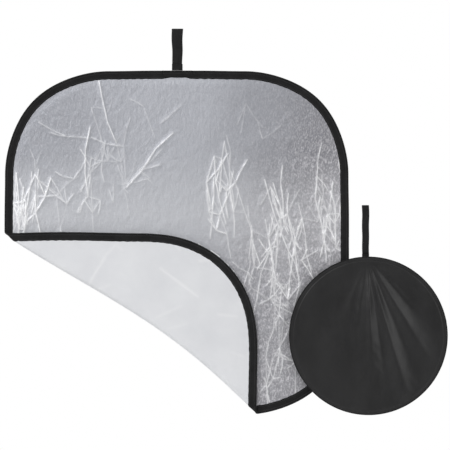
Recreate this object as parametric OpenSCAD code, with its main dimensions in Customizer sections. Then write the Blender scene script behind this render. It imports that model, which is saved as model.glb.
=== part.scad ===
// Collapsible light reflector with one corner turned over, and its round zip case.
// X runs to the right, Z runs up and Y runs away from the viewer: the silver side faces -Y.
// The origin is inside the top of the panel's hang loop, where a hook carries it.

/* [Panel] */
// Width and height of the open panel
panel_size = 1320; // [1050:10:1700]
// Outer radius of the panel's corners
corner_r = 400; // [320:10:500]
// Width of the flat spring band, measured through the panel
hoop_w = 5.5; // [4:0.5:8]
// Thickness of the flat spring band
hoop_t = 1; // [0.8:0.1:1.4]
// Thickness of each of the two cloths
cloth_t = 0.6; // [0.4:0.1:1]
// Width of the binding on each face
band_w = 32; // [24:1:40]
// Thickness of the binding tape
tape_t = 0.9; // [0.6:0.1:1.4]
// Space between the spring band and the sleeve's outer wall
sleeve_gap = 0.6; // [0.5:0.1:1]
// Length of the ferrule that joins the band's two ends
ferrule_len = 45; // [30:5:70]

/* [Turned corner] */
// Part of the left side that is turned over
fold_up_share = 0.531; // [0.45:0.001:0.6]
// Part of the bottom side that is turned over
fold_along_share = 0.734; // [0.6:0.001:0.8]
// Outer radius of the turned corner, a little tighter than when it is open
turned_r = 366; // [300:2:460]
// Radius of the fold, at the middle of the two cloths
fold_r = 8; // [6:0.5:12]
// How far the fold bows into the panel between its ends
fold_bow = 38; // [20:2:60]

/* [Panel loop] */
// Height of the hang loop's top above the panel's edge
loop_rise = 161; // [120:1:220]
// Width of the hang loop's webbing
loop_w = 41; // [30:1:60]
// Thickness of all webbing
web_t = 1.6; // [1.2:0.1:2]
// Inner radius of the hang loop's top
loop_ri = 8; // [6:0.5:14]
// Height of the sewn-down tail above the panel's edge
tack_h = 25; // [15:1:40]
// Length over which the hang loops' two legs lie together above the hinge
loop_seam = 10; // [6:1:20]
// Length of the lap over the ends of the binding
lap_len = 115; // [80:5:160]
// Thickness of the lap
lap_t = 0.8; // [0.5:0.1:1.2]
// Offset of the hang loop from the panel's centre line
loop_shift = 2; // [-10:1:10]

/* [Case] */
// Outer diameter of the case over its piping
case_d = 606; // [500:2:760]
// Depth of the case, outer face to outer face
case_depth = 30; // [24:1:40]
// Thickness of the case's cloth
case_t = 1.2; // [0.8:0.1:2]
// How far the piping stands out from the cloth's edge
pipe_r = 2; // [1.5:0.1:3]
// How far the side band sits inside the round cloths
wall_inset = 5; // [4.5:0.5:8]
// Distance of the case's centre beyond the panel's right edge
case_past = 73; // [50:1:240]
// Distance of the case's centre below the panel's top edge
case_below = 1015; // [800:1:1200]
// Air between the panel's rim and the back of the case
case_gap = 4; // [3:0.5:20]

/* [Case mouth] */
// Half of the angle of the mouth, from the top of the case
mouth_half = 70; // [60:1:80]
// Half of the angle of the whole zip, from the top of the case
zip_half = 78; // [76:1:88]
// Where the slider stands, from the top of the case
slider_at = 74; // [73.5:0.5:84]
// Width of each zip tape
zip_tape_w = 7.4; // [5:0.1:9]
// Thickness of the zip tapes
zip_tape_t = 0.8; // [0.5:0.1:1]
// Width of one half of the closed zip coil
coil_w = 1.6; // [1.2:0.1:2.4]
// Height of the zip coil
coil_t = 1.8; // [1.2:0.1:2.4]
// Length of the slider along the zip
slider_len = 12; // [9:0.5:16]
// Length of the zip pull beyond its pin
pull_len = 30; // [20:1:45]
// Width of the zip pull
pull_w = 8; // [6.8:0.2:12]

/* [Case loop] */
// Height of the loop's top above the case's edge
case_loop_rise = 197; // [150:1:240]
// Width of the case loop's webbing
case_loop_w = 27; // [20:1:40]
// Inner radius of the case loop's top
case_loop_ri = 8; // [6:0.5:14]
// Height of the case loop's sewn-down tail above the cloth's edge
case_tack_h = 12; // [8:1:30]
// Offset of the case loop from the case's centre line
case_loop_shift = -10; // [-20:1:20]

/* [Hidden] */
$fn = 180;

small_fn = 48;   // for rods, pins and loop ends
bow_fn = 1440;   // for the long shallow arc of the fold
gap = 0.3;       // running gap between pieces on different bodies
far = 3000;      // longer than anything here
eps = 0.01;      // lets a cut run just past a face

black = [0.12, 0.12, 0.12];
silver = [0.68, 0.69, 0.71];
white = [0.92, 0.92, 0.93];
steel = [0.5, 0.52, 0.55];

// ---- Panel, in the XZ plane ----
half = panel_size / 2;
z_top = -(loop_rise - web_t);
z_bottom = z_top - panel_size;

// Section of the binding: a is measured inwards from the outer edge, h through the panel
seam_room = 1.6;      // from the spring band in to the seam that closes its sleeve
sleeve_slack = 0.55;  // above and below the spring band
seam_w = 0.5;         // from that seam in to the cloths' edges
bevel = 1;            // takes off the sleeve's two outer corners
shoulder_a = 4.5;     // where the sleeve's flat top ends
taper_end = 10;       // where the binding lies flat on the cloths
sleeve_w = sleeve_gap + hoop_t + seam_room;
sleeve_h = hoop_w / 2 + sleeve_slack;
bead_h = sleeve_h + tape_t;
leg_h = cloth_t + tape_t;
hoop_a = tape_t + sleeve_gap;
cloth_a = tape_t + sleeve_w + seam_w;
lap_fit = 0.2;        // the lap's slopes lie this much further in than the binding's
lap_short = 5;        // the lap ends this far inside the binding's inner edge
corner_seat = 0.1;    // keeps the turned corner's cut faces off the fold

// Fold ends: o is on the outer edge, i on the binding's inner edge, t the slope of the crease
left_t = 45;
left_o = [-half, z_bottom + panel_size * fold_up_share];
left_i = left_o + band_w * [1, -tan(left_t)];
flap_top = left_o[1];
flap_right = -half + panel_size * fold_along_share;
into_arc = max(0, flap_right - (half - corner_r));
right_t = 45 - asin(into_arc / corner_r) / 2;
right_o = [flap_right, z_bottom + corner_r - sqrt(corner_r * corner_r - into_arc * into_arc)];
right_i = right_o + band_w * [-1, tan(right_t)];

// The fold is one shallow arc through both inner ends
chord = right_i - left_i;
chord_len = norm(chord);
chord_dir = chord / chord_len;
bow_r = chord_len * chord_len / (8 * fold_bow) + fold_bow / 2;
bow_c = (left_i + right_i) / 2 + (bow_r - fold_bow) * [chord_dir[1], -chord_dir[0]];
bow_a0 = atan2(right_i[1] - bow_c[1], right_i[0] - bow_c[0]);
bow_a1 = atan2(left_i[1] - bow_c[1], left_i[0] - bow_c[0]);

// Panel loop
lap_top = z_top + lap_t;
tack_top = z_top + tack_h;
loop_hinge_z = tack_top + gap + web_t;

// ---- Case: radii are about its centre, y values are from the middle of the panel ----
case_x = half + case_past;
case_z = z_top - case_below;
case_y0 = -(bead_h + case_gap);
case_y1 = case_y0 - case_depth;
case_ym = (case_y0 + case_y1) / 2;
disc_r = case_d / 2 - pipe_r;
wall_r = disc_r - wall_inset;   // outside of the side band
mouth_z = disc_r * cos(mouth_half);
mouth_a = 90 - mouth_half;
split_a = asin(5 * gap / disc_r);   // lets the mouth's piping swing past the ends below it
coil_gap = gap / 2;
tape_in = coil_gap + coil_w;
tape_lap = 3;   // width of zip tape sewn onto the side band
band_edge = tape_in + zip_tape_w - tape_lap;
stop_w = 2;
stop_over = 1;
stop_seat = 0.1;   // from the coil's end to its stop
stop_turn = asin((stop_w / 2 + stop_seat) / wall_r);
slider_plate_r = wall_r + coil_t + gap;
slider_plate_t = 1.5;
slider_half_w = 5.5;
lug_h = 2.4;
lug_w = 2.4;
pin_r = 0.8;
pin_at = slider_plate_r + slider_plate_t + lug_h;
eye_r = pin_r + gap;
eye_wall = 0.7;
pin_end = 0.6;   // the pin ends this far inside each side of the pull
pull_t = 1.8;
case_loop_y = case_y0 - case_t / 2;
case_tack_top = disc_r + case_tack_h;
case_loop_hinge = case_tack_top + gap + web_t;
case_loop_top = case_d / 2 + case_loop_rise;

// ---- Helpers ----

// Gives a drawing in XZ its thickness, from y = y0 towards the viewer to y = y1
module slab(y0, y1) {
    translate([0, y0, 0]) rotate([90, 0, 0]) linear_extrude(y0 - y1) children();
}

// Runs a section along a straight edge that starts at p and heads at angle phi
module run_line(p, phi, len) {
    translate([p[0], 0, p[1]]) rotate([0, -phi, 0]) rotate(180, [1, 0, 1])
        linear_extrude(len) children();
}

// Runs a section round an arc of outer radius r about c, from angle a0 to a1
module run_arc(c, r, a0, a1) {
    translate([c[0], 0, c[1]]) rotate([90, 0, 0]) rotate([0, 0, a0])
        rotate_extrude(angle = a1 - a0) translate([r, 0]) mirror([1, 0]) children();
}

// Turns a section half round the fold's end, about the crease through p at slope t
module run_fold(p, t) {
    translate([p[0], -fold_r, p[1]]) rotate([0, t, 0]) rotate([-90, 0, 0]) rotate([0, 90, 0])
        rotate_extrude(angle = 180) translate([fold_r, 0]) children();
}

// Everything beyond the fold, on its lower left side
module beyond_fold() {
    polygon([
        left_o + 4 * (left_o - left_i), left_i, right_i, right_o + 4 * (right_o - right_i),
        [right_o[0], -far], [-far, -far], [-far, left_o[1]]
    ]);
}

// The side of the bowed fold that has no flat cloth
module beyond_bow() {
    translate(bow_c) circle(bow_r, $fn = bow_fn);
}

// Cuts off what lies beyond the fold, and a seat more on the turned corner
module keep_panel_side(seat = 0) {
    difference() {
        children();
        slab(far / 10, -far / 10) translate([seat, seat]) beyond_fold();
    }
}

// The open hoop's path, from the fold's right end round to its left end
module panel_path() {
    keep_panel_side() {
        union() {
            run_line([corner_r - half, z_bottom], 0, panel_size - 2 * corner_r) children();
            run_arc([half - corner_r, z_bottom + corner_r], corner_r, -90, 0) children();
            run_line([half, z_bottom + corner_r], 90, panel_size - 2 * corner_r) children();
            run_arc([half - corner_r, z_top - corner_r], corner_r, 0, 90) children();
            run_line([half - corner_r, z_top], 180, panel_size - 2 * corner_r) children();
            run_arc([corner_r - half, z_top - corner_r], corner_r, 90, 180) children();
            run_line([-half, z_top - corner_r], 270, panel_size - 2 * corner_r) children();
        }
    }
}

// The turned corner's path, one fold's depth nearer the viewer
module corner_path() {
    keep_panel_side(corner_seat) translate([0, -2 * fold_r, 0]) {
        union() {
            run_line([flap_right, z_bottom - band_w], 90, flap_top - turned_r - z_bottom + band_w)
                children();
            run_arc([flap_right - turned_r, flap_top - turned_r], turned_r, 0, 90) children();
            run_line([flap_right - turned_r, flap_top], 180, flap_right - turned_r + half + band_w)
                children();
        }
    }
}

// Outside of the binding's section, widened by s where it is cut on a slant
module binding_outline(s = 1) {
    polygon([
        [0, bevel - bead_h], [bevel * s, -bead_h], [shoulder_a * s, -bead_h],
        [taper_end * s, -leg_h], [band_w * s, -leg_h], [band_w * s, leg_h],
        [taper_end * s, leg_h], [shoulder_a * s, bead_h], [bevel * s, bead_h],
        [0, bead_h - bevel]
    ]);
}

module binding_section(s = 1) {
    difference() {
        binding_outline(s);
        translate([tape_t * s, -sleeve_h]) square([sleeve_w * s, 2 * sleeve_h]);
        translate([(tape_t + sleeve_w) * s - eps, -cloth_t]) square([2 * band_w, 2 * cloth_t]);
    }
}

module hoop_section(s = 1) {
    translate([hoop_a * s, -hoop_w / 2]) square([hoop_t * s, hoop_w]);
}

// Flat cloth of the open panel, up to the bowed fold
module panel_field() {
    r = corner_r - cloth_a;
    side = panel_size - 2 * cloth_a;
    difference() {
        translate([0, (z_top + z_bottom) / 2]) {
            square([side - 2 * r, side], center = true);
            square([side, side - 2 * r], center = true);
            for (x = [-1, 1], z = [-1, 1])
                translate([x, z] * (side / 2 - r)) circle(r);
        }
        beyond_fold();
        beyond_bow();
    }
}

// Flat cloth of the turned corner
module corner_field() {
    right = flap_right - cloth_a;
    top = flap_top - cloth_a;
    r = turned_r - cloth_a;
    difference() {
        union() {
            translate([-half, z_bottom]) square([right + half, top - r - z_bottom]);
            translate([-half, z_bottom]) square([right - r + half, top - z_bottom]);
            translate([right - r, top - r]) circle(r);
        }
        translate([corner_seat, corner_seat]) {
            beyond_fold();
            beyond_bow();
        }
    }
}

// Half ring that carries a cloth round the bowed fold, between radii r0 and r1
module cloth_turn(r0, r1) {
    translate([bow_c[0], 0, bow_c[1]]) rotate([90, 0, 0]) rotate([0, 0, bow_a0])
        rotate_extrude(angle = bow_a1 - bow_a0, $fn = bow_fn) translate([bow_r, fold_r])
            difference() {
                circle(r1, $fn = small_fn);
                circle(r0, $fn = small_fn);
                translate([0, -2 * fold_r]) square(4 * fold_r);
            }
}

// Bar of width w along X with a round top of radius r at z1, closing in to half width r0 at z0
module teardrop(w, z1, r, z0, r0) {
    into = 1;      // the cone starts this far inside the round top
    inside = 0.1;  // and this much narrower than it
    translate([0, 0, z1]) rotate([0, 90, 0]) cylinder(h = w, r = r, center = true, $fn = small_fn);
    rotate([90, 0, 90]) translate([0, 0, -w / 2]) linear_extrude(w)
        polygon([[inside - r, z1 + into], [r - inside, z1 + into], [r0, z0], [-r0, z0]]);
}

// Hang loop of webbing, with a foot that clears its hinge line all round
module loop_strap(top, foot, ri, w) {
    zc = top - ri - web_t;
    c = web_t * cos(45);
    slit = 0.4;   // half of the space between the legs where they meet
    difference() {
        union() {
            teardrop(w, zc, ri + web_t, foot, web_t);
            rotate([90, 0, 90]) translate([0, 0, -w / 2]) linear_extrude(w)
                polygon([[-web_t, foot], [-c, foot - c], [c, foot - c], [web_t, foot]]);
        }
        teardrop(2 * w, zc, ri, foot + loop_seam, slit);
    }
}

// ---- Panel ----

module silver_cloth() {
    color(silver) slab(0, -cloth_t) panel_field();
}

module white_cloth() {
    color(white) slab(cloth_t, 0) panel_field();
}

module hoop() {
    color(steel) panel_path() hoop_section();
}

// Crimped sleeve over the ends of the spring band, half way up the right side
module hoop_ferrule() {
    color(steel) run_line([half, (z_top + z_bottom - ferrule_len) / 2], 90, ferrule_len)
        difference() {
            translate([tape_t, -sleeve_h]) square([2 * sleeve_gap + hoop_t, 2 * sleeve_h]);
            hoop_section();
        }
}

module rim_binding() {
    color(black) panel_path() binding_section();
}

// Short wrap over the binding where the hang loop is sewn in
module binding_lap() {
    color(black) translate([loop_shift, 0, 0])
        run_line([lap_len / 2, z_top], 180, lap_len)
            difference() {
                polygon([
                    [-lap_t, bevel - bead_h], [0, -bead_h - lap_t],
                    [shoulder_a + lap_fit, -bead_h - lap_t],
                    [taper_end + lap_fit, -leg_h - lap_t], [band_w - lap_short, -leg_h - lap_t],
                    [band_w - lap_short, leg_h + lap_t], [taper_end + lap_fit, leg_h + lap_t],
                    [shoulder_a + lap_fit, bead_h + lap_t], [0, bead_h + lap_t],
                    [-lap_t, bead_h - bevel]
                ]);
                binding_outline();
            }
}

module panel_loop_tack() {
    color(black) translate([loop_shift - loop_w / 2, -web_t, lap_top])
        cube([loop_w, 2 * web_t, tack_top - lap_top]);
}

module panel_hang_loop() {
    color(black) translate([loop_shift, 0, 0])
        loop_strap(web_t, loop_hinge_z, loop_ri, loop_w);
}

// ---- Turned corner ----

module silver_cloth_corner() {
    color(silver) slab(cloth_t - 2 * fold_r, -2 * fold_r) corner_field();
}

module white_cloth_corner() {
    color(white) slab(-2 * fold_r, -cloth_t - 2 * fold_r) corner_field();
}

module hoop_corner() {
    color(steel) corner_path() hoop_section();
}

module rim_binding_corner() {
    color(black) corner_path() binding_section();
}

// ---- Fold ----

module silver_cloth_fold() {
    color(silver) cloth_turn(fold_r - cloth_t, fold_r);
}

module white_cloth_fold() {
    color(white) cloth_turn(fold_r, fold_r + cloth_t);
}

module hoop_fold_left() {
    color(steel) run_fold(left_o, left_t) mirror([1, -1]) hoop_section(1 / cos(left_t));
}

module hoop_fold_right() {
    color(steel) run_fold(right_o, right_t)
        mirror([0, 1]) mirror([1, -1]) hoop_section(1 / cos(right_t));
}

module rim_fold_left() {
    color(black) run_fold(left_o, left_t) mirror([1, -1]) binding_section(1 / cos(left_t));
}

module rim_fold_right() {
    color(black) run_fold(right_o, right_t)
        mirror([0, 1]) mirror([1, -1]) binding_section(1 / cos(right_t));
}

// ---- Case ----

module at_case() {
    translate([case_x, 0, case_z]) children();
}

// Ring about the case's centre, between two radii and two depths
module case_ring(r0, r1, y0, y1) {
    slab(y0, y1) difference() {
        circle(r1);
        circle(r0);
    }
}

// The pieces of a ring that lie above or below the mouth's hinge line
module above_mouth() {
    intersection() {
        children();
        translate([-far, -far, mouth_z + gap]) cube(2 * far);
    }
}

module below_mouth() {
    intersection() {
        children();
        translate([-far, -far, mouth_z - 2 * far]) cube(2 * far);
    }
}

// The part of a ring within the zip's whole angle
module within_zip() {
    intersection() {
        children();
        slab(far / 10, -far / 10) polygon([
            [0, 0], far * [sin(zip_half), cos(zip_half)], far * [1, 1], far * [-1, 1],
            far * [-sin(zip_half), cos(zip_half)]
        ]);
    }
}

// Cord sewn round the edge of a round cloth whose middle is at y, from angle a0 to a1
module piping(y, a0, a1) {
    translate([0, y, 0]) rotate([90, 0, 0]) rotate([0, 0, a0])
        rotate_extrude(angle = a1 - a0) translate([disc_r, 0]) intersection() {
            circle(pipe_r, $fn = small_fn);
            translate([0, -pipe_r]) square([pipe_r, 2 * pipe_r]);
        }
}

module case_back() {
    color(black) at_case() slab(case_y0, case_y0 - case_t) circle(disc_r);
}

module front_disc() {
    slab(case_y1 + case_t, case_y1) circle(disc_r);
}

module case_front_lower() {
    color(black) at_case() below_mouth() front_disc();
}

module case_front_upper() {
    color(black) at_case() above_mouth() front_disc();
}

// Full depth below the mouth, and the back half of the depth round the mouth
module case_side_band() {
    color(black) at_case() {
        union() {
            below_mouth() case_ring(wall_r - case_t, wall_r, case_y0 - case_t, case_y1 + case_t);
            case_ring(wall_r - case_t, wall_r, case_y0 - case_t, case_ym + band_edge);
        }
    }
}

module case_mouth_band() {
    color(black) at_case() above_mouth()
        case_ring(wall_r - case_t, wall_r, case_ym - band_edge, case_y1 + case_t);
}

// Stops on both sides of the loop's tail, which is sewn into the same seam
module case_piping_back() {
    right = asin((case_loop_shift + case_loop_w / 2) / disc_r);
    left = asin((case_loop_shift - case_loop_w / 2) / disc_r);
    color(black) at_case() piping(case_loop_y, 90 - left, 450 - right);
}

module case_piping_front() {
    color(black) at_case() piping(case_y1 + case_t / 2, 180 - mouth_a, 360 + mouth_a);
}

module case_piping_mouth() {
    color(black) at_case() piping(case_y1 + case_t / 2, mouth_a + split_a, 180 - mouth_a - split_a);
}

// ---- Zip ----

module tape_ring(side) {
    near = case_ym + side * tape_in;
    outer = case_ym + side * (tape_in + zip_tape_w);
    case_ring(wall_r, wall_r + zip_tape_t, max(near, outer), min(near, outer));
}

module coil_ring(side) {
    near = case_ym + side * coil_gap;
    outer = case_ym + side * tape_in;
    case_ring(wall_r, wall_r + coil_t, max(near, outer), min(near, outer));
}

module zip_tape_back() {
    color(black) at_case() within_zip() tape_ring(1);
}

module zip_tape_front() {
    color(black) at_case() above_mouth() tape_ring(-1);
}

module zip_tape_ends() {
    color(black) at_case() within_zip() below_mouth() tape_ring(-1);
}

module zip_coil_back() {
    color(black) at_case() within_zip() coil_ring(1);
}

module zip_coil_front() {
    color(black) at_case() above_mouth() coil_ring(-1);
}

module zip_coil_ends() {
    color(black) at_case() within_zip() below_mouth() coil_ring(-1);
}

// Crimped bars across both ends of the coil
module zip_stops() {
    color(steel) at_case() for (side = [-1, 1])
        rotate([0, side * (zip_half + stop_turn), 0])
            translate([-stop_w / 2, case_ym - tape_in - stop_over, wall_r])
                cube([stop_w, 2 * (tape_in + stop_over), coil_t]);
}

// Puts a piece that is drawn at the top of the case where the slider stands
module at_slider() {
    at_case() rotate([0, slider_at, 0]) translate([0, case_ym, 0]) children();
}

module zip_slider() {
    lip_in = tape_in + 1;
    lip_z = wall_r + zip_tape_t + gap;
    color(steel) at_slider() {
        union() {
            translate([-slider_len / 2, -slider_half_w, slider_plate_r])
                cube([slider_len, 2 * slider_half_w, slider_plate_t]);
            difference() {
                translate([-slider_len / 2, -slider_half_w, lip_z])
                    cube([slider_len, 2 * slider_half_w, slider_plate_r - lip_z + eps]);
                translate([-slider_len, -lip_in, 0]) cube([2 * slider_len, 2 * lip_in, 2 * wall_r]);
            }
            translate([-lug_w / 2, -lug_w / 2, slider_plate_r])
                cube([lug_w, lug_w, pin_at - slider_plate_r]);
            translate([0, 0, pin_at]) rotate([90, 0, 0])
                cylinder(h = lug_w, r = lug_w / 2, center = true, $fn = small_fn);
            translate([0, 0, pin_at]) rotate([90, 0, 0])
                cylinder(h = pull_w - 2 * pin_end, r = pin_r, center = true, $fn = small_fn);
        }
    }
}

// Tab with two eyes that swing on the slider's pin, lying along the zip
module zip_pull() {
    slot = lug_w + 2 * gap;
    slot_len = lug_w / 2 + gap;
    color(steel) at_slider() translate([0, 0, pin_at]) difference() {
        union() {
            rotate([90, 0, 0])
                cylinder(h = pull_w, r = eye_r + eye_wall, center = true, $fn = small_fn);
            translate([0, -pull_w / 2, -pull_t / 2]) cube([pull_len, pull_w, pull_t]);
        }
        rotate([90, 0, 0]) cylinder(h = 2 * pull_w, r = eye_r, center = true, $fn = small_fn);
        translate([-2 * eye_r, -slot / 2, -2 * eye_r])
            cube([2 * eye_r + slot_len + 1, slot, 4 * eye_r]);
    }
}

// ---- Case loop ----

module case_loop_tack() {
    sink = 3;   // reaches past the cloth's edge before it is cut to fit it
    color(black) at_case() difference() {
        translate([case_loop_shift - case_loop_w / 2, case_loop_y - web_t, disc_r - sink])
            cube([case_loop_w, 2 * web_t, case_tack_h + sink]);
        slab(far / 10, -far / 10) circle(disc_r);
    }
}

module case_hang_loop() {
    color(black) at_case() translate([case_loop_shift, case_loop_y, 0])
        loop_strap(case_loop_top, case_loop_hinge, case_loop_ri, case_loop_w);
}

silver_cloth();
white_cloth();
hoop();
hoop_ferrule();
rim_binding();
binding_lap();
panel_loop_tack();
panel_hang_loop();
silver_cloth_corner();
white_cloth_corner();
hoop_corner();
rim_binding_corner();
silver_cloth_fold();
white_cloth_fold();
hoop_fold_left();
hoop_fold_right();
rim_fold_left();
rim_fold_right();
case_back();
case_front_lower();
case_front_upper();
case_side_band();
case_mouth_band();
case_piping_back();
case_piping_front();
case_piping_mouth();
zip_tape_back();
zip_tape_front();
zip_tape_ends();
zip_coil_back();
zip_coil_front();
zip_coil_ends();
zip_stops();
zip_slider();
zip_pull();
case_loop_tack();
case_hang_loop();
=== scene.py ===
import math

import bpy
import numpy as np
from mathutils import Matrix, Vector


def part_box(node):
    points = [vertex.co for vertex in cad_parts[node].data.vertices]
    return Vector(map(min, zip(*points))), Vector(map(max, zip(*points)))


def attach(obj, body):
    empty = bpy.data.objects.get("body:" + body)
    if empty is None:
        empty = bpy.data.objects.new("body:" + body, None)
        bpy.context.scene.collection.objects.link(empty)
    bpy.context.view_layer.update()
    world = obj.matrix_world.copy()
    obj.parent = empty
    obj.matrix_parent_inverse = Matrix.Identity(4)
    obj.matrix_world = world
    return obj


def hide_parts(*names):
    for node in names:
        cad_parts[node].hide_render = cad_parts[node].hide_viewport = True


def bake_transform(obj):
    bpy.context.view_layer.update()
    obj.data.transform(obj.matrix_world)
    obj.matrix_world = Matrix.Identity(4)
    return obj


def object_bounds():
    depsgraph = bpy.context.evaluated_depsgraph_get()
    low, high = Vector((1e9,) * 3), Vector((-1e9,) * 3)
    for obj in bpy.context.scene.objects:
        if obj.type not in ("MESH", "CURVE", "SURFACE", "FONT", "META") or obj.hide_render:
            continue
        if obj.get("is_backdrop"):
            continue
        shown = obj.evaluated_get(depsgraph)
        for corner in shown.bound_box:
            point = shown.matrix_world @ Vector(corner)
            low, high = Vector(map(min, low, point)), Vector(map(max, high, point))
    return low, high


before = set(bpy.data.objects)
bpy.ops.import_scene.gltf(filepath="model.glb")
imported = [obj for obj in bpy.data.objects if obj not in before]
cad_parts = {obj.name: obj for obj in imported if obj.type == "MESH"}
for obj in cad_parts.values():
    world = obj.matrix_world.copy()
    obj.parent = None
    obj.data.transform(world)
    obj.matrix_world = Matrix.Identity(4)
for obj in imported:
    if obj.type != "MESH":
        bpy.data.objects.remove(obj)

# Looks of a pop-up reflector with one corner turned over, and its round zip case.
# Lengths are in metres. Places come from the frame's boxes; the rest are the part's own sizes.

MM = 0.001


def corners(node):
    lo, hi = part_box(node)
    return np.array(lo, float), np.array(hi, float)


CAD_LO, CAD_HI = (np.array(v, float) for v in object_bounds())

# ---- Panel sizes ----
RIM_LO, RIM_HI = corners("rim_binding")
FLAP_LO, FLAP_HI = corners("rim_binding_corner")
LEFT, RIGHT, TOP = RIM_LO[0], RIM_HI[0], RIM_HI[2]
SIZE = RIGHT - LEFT
BOTTOM = TOP - SIZE
CORNER_R = 400 * MM
ARC_LEFT, ARC_RIGHT = LEFT + CORNER_R, RIGHT - CORNER_R     # centres of the corners' arcs
ARC_LOW, ARC_HIGH = BOTTOM + CORNER_R, TOP - CORNER_R
TURNED_R = 366 * MM
TURN_TIGHTEST = 375 * MM     # tightest radius of the turned corner's soft outline
FLAP_EASE = -4 * MM          # height of that outline's arc over the CAD's top edge
BAND = 32 * MM
FOLD_R = -FLAP_LO[1] / 2 - RIM_HI[1] / 2
FLAP_TOP = FLAP_HI[2]
FLAP_RIGHT = FLAP_HI[0]
TAPE_PUCKER = 0.08           # share by which the sewn tape thickens and thins
TAPE_RIPPLE = 0.5 * MM       # how unevenly its inner edge runs
HOOP_OUTER = 1.5 * MM        # how far inside the rim's outer edge the steel lies
HOOP_THICK = 1.0 * MM
HOOP_WIDTH = 5.5 * MM
BAND_TUCK = 13 * MM          # the cloths' hidden edges lie this far inside the rim's outer edge
NEAR_FOLD = 350 * MM         # stretch of rim at each end that holds its fold
FOLD_GAP = 0.5 * MM          # flat cloth ends this close to the rim's own fold
FOLD_END = 40 * MM           # stretch at each end of the bow where the rim's fold is
TURN_TUCK = 12 * MM          # how far the bent cloth reaches into the rim's fold

# ---- Case sizes ----
BACK_LO, BACK_HI = corners("case_back")
CASE_X = (BACK_LO[0] + BACK_HI[0]) / 2
CASE_Z = (BACK_LO[2] + BACK_HI[2]) / 2
DISC_R = (BACK_HI[0] - BACK_LO[0]) / 2
WALL_R = DISC_R - 5 * MM
CASE_BACK_Y = BACK_HI[1]
CASE_FRONT_Y = corners("case_front_lower")[0][1]
CASE_MID_Y = (CASE_BACK_Y + CASE_FRONT_Y) / 2
PIPE_R = 2 * MM
ZIP_HALF = math.radians(78)


def full_turn(count):
    """Angles of evenly spread points round a circle."""
    return np.linspace(0, 2 * math.pi, count + 1)[:-1]


def smooth(t):
    t = np.clip(t, 0, 1)
    return t * t * (3 - 2 * t)


# ---- camera, lights, floor ----

CAMERA_DISTANCE = 14.0
VIEW_WIDTH = 1.724
VIEW_CENTRE = (LEFT + 0.640 * SIZE, TOP - 0.448 * SIZE)
FLOOR_RADIUS = 2.4
FLOOR_DROP = 0.36            # the floor lies this far below the hanging panel


def new_object(name, data):
    obj = bpy.data.objects.new(name, data)
    bpy.context.scene.collection.objects.link(obj)
    return obj


def make_camera():
    data = bpy.data.cameras.new("camera")
    data.sensor_width = 36
    data.lens = data.sensor_width * CAMERA_DISTANCE / VIEW_WIDTH
    data.clip_end = 100
    cam = new_object("camera", data)
    cam.location = (VIEW_CENTRE[0], -CAMERA_DISTANCE, VIEW_CENTRE[1])
    cam.rotation_euler = (math.radians(90), 0, 0)
    bpy.context.scene.camera = cam


def area_light(name, place, target, size, power):
    data = bpy.data.lights.new(name, "AREA")
    data.shape = "RECTANGLE"
    data.size, data.size_y = size
    data.energy = power
    lamp = new_object(name, data)
    lamp.location = place
    lamp.rotation_euler = (Vector(target) - Vector(place)).to_track_quat("-Z", "Y").to_euler()


def make_world():
    """Plain white to the camera, and light that fades downwards for everything else."""
    world = bpy.data.worlds.new("studio")
    bpy.context.scene.world = world
    world.use_nodes = True
    tree = Tree(world.node_tree)
    tree.nodes.clear()
    new = tree.nodes.new
    out = new("ShaderNodeOutputWorld")
    mix = new("ShaderNodeMixShader")
    path = new("ShaderNodeLightPath")
    seen = new("ShaderNodeBackground")
    seen.inputs["Color"].default_value = (1, 1, 1, 1)
    lit = new("ShaderNodeBackground")
    lit.inputs["Strength"].default_value = 0.56
    height = tree.split(new("ShaderNodeTexCoord").outputs["Generated"])["Z"]
    shade = tree.ramp(tree.scaled(height, 0.5, 0.5), [(0.35, (0.5, 0.49, 0.5)), (0.8, (1, 1, 1))])
    tree.link(shade, lit.inputs["Color"])
    tree.link(path.outputs["Is Camera Ray"], mix.inputs["Fac"])
    tree.link(lit.outputs[0], mix.inputs[1])
    tree.link(seen.outputs[0], mix.inputs[2])
    tree.link(mix.outputs[0], out.inputs["Surface"])


def make_floor():
    bpy.ops.mesh.primitive_circle_add(
        vertices=96, radius=FLOOR_RADIUS, fill_type="NGON",
        location=((LEFT + RIGHT) / 2 + 0.25, 0.2, CAD_LO[2] - FLOOR_DROP))
    floor = bpy.context.object
    floor.name = "floor"
    look = Look("floor_paper")
    look.shader.inputs["Base Color"].default_value = (0.9, 0.9, 0.9, 1)
    look.set("Roughness", 0.9)
    floor.data.materials.append(look.material)
    floor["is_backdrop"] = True


# ---- materials ----

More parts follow.
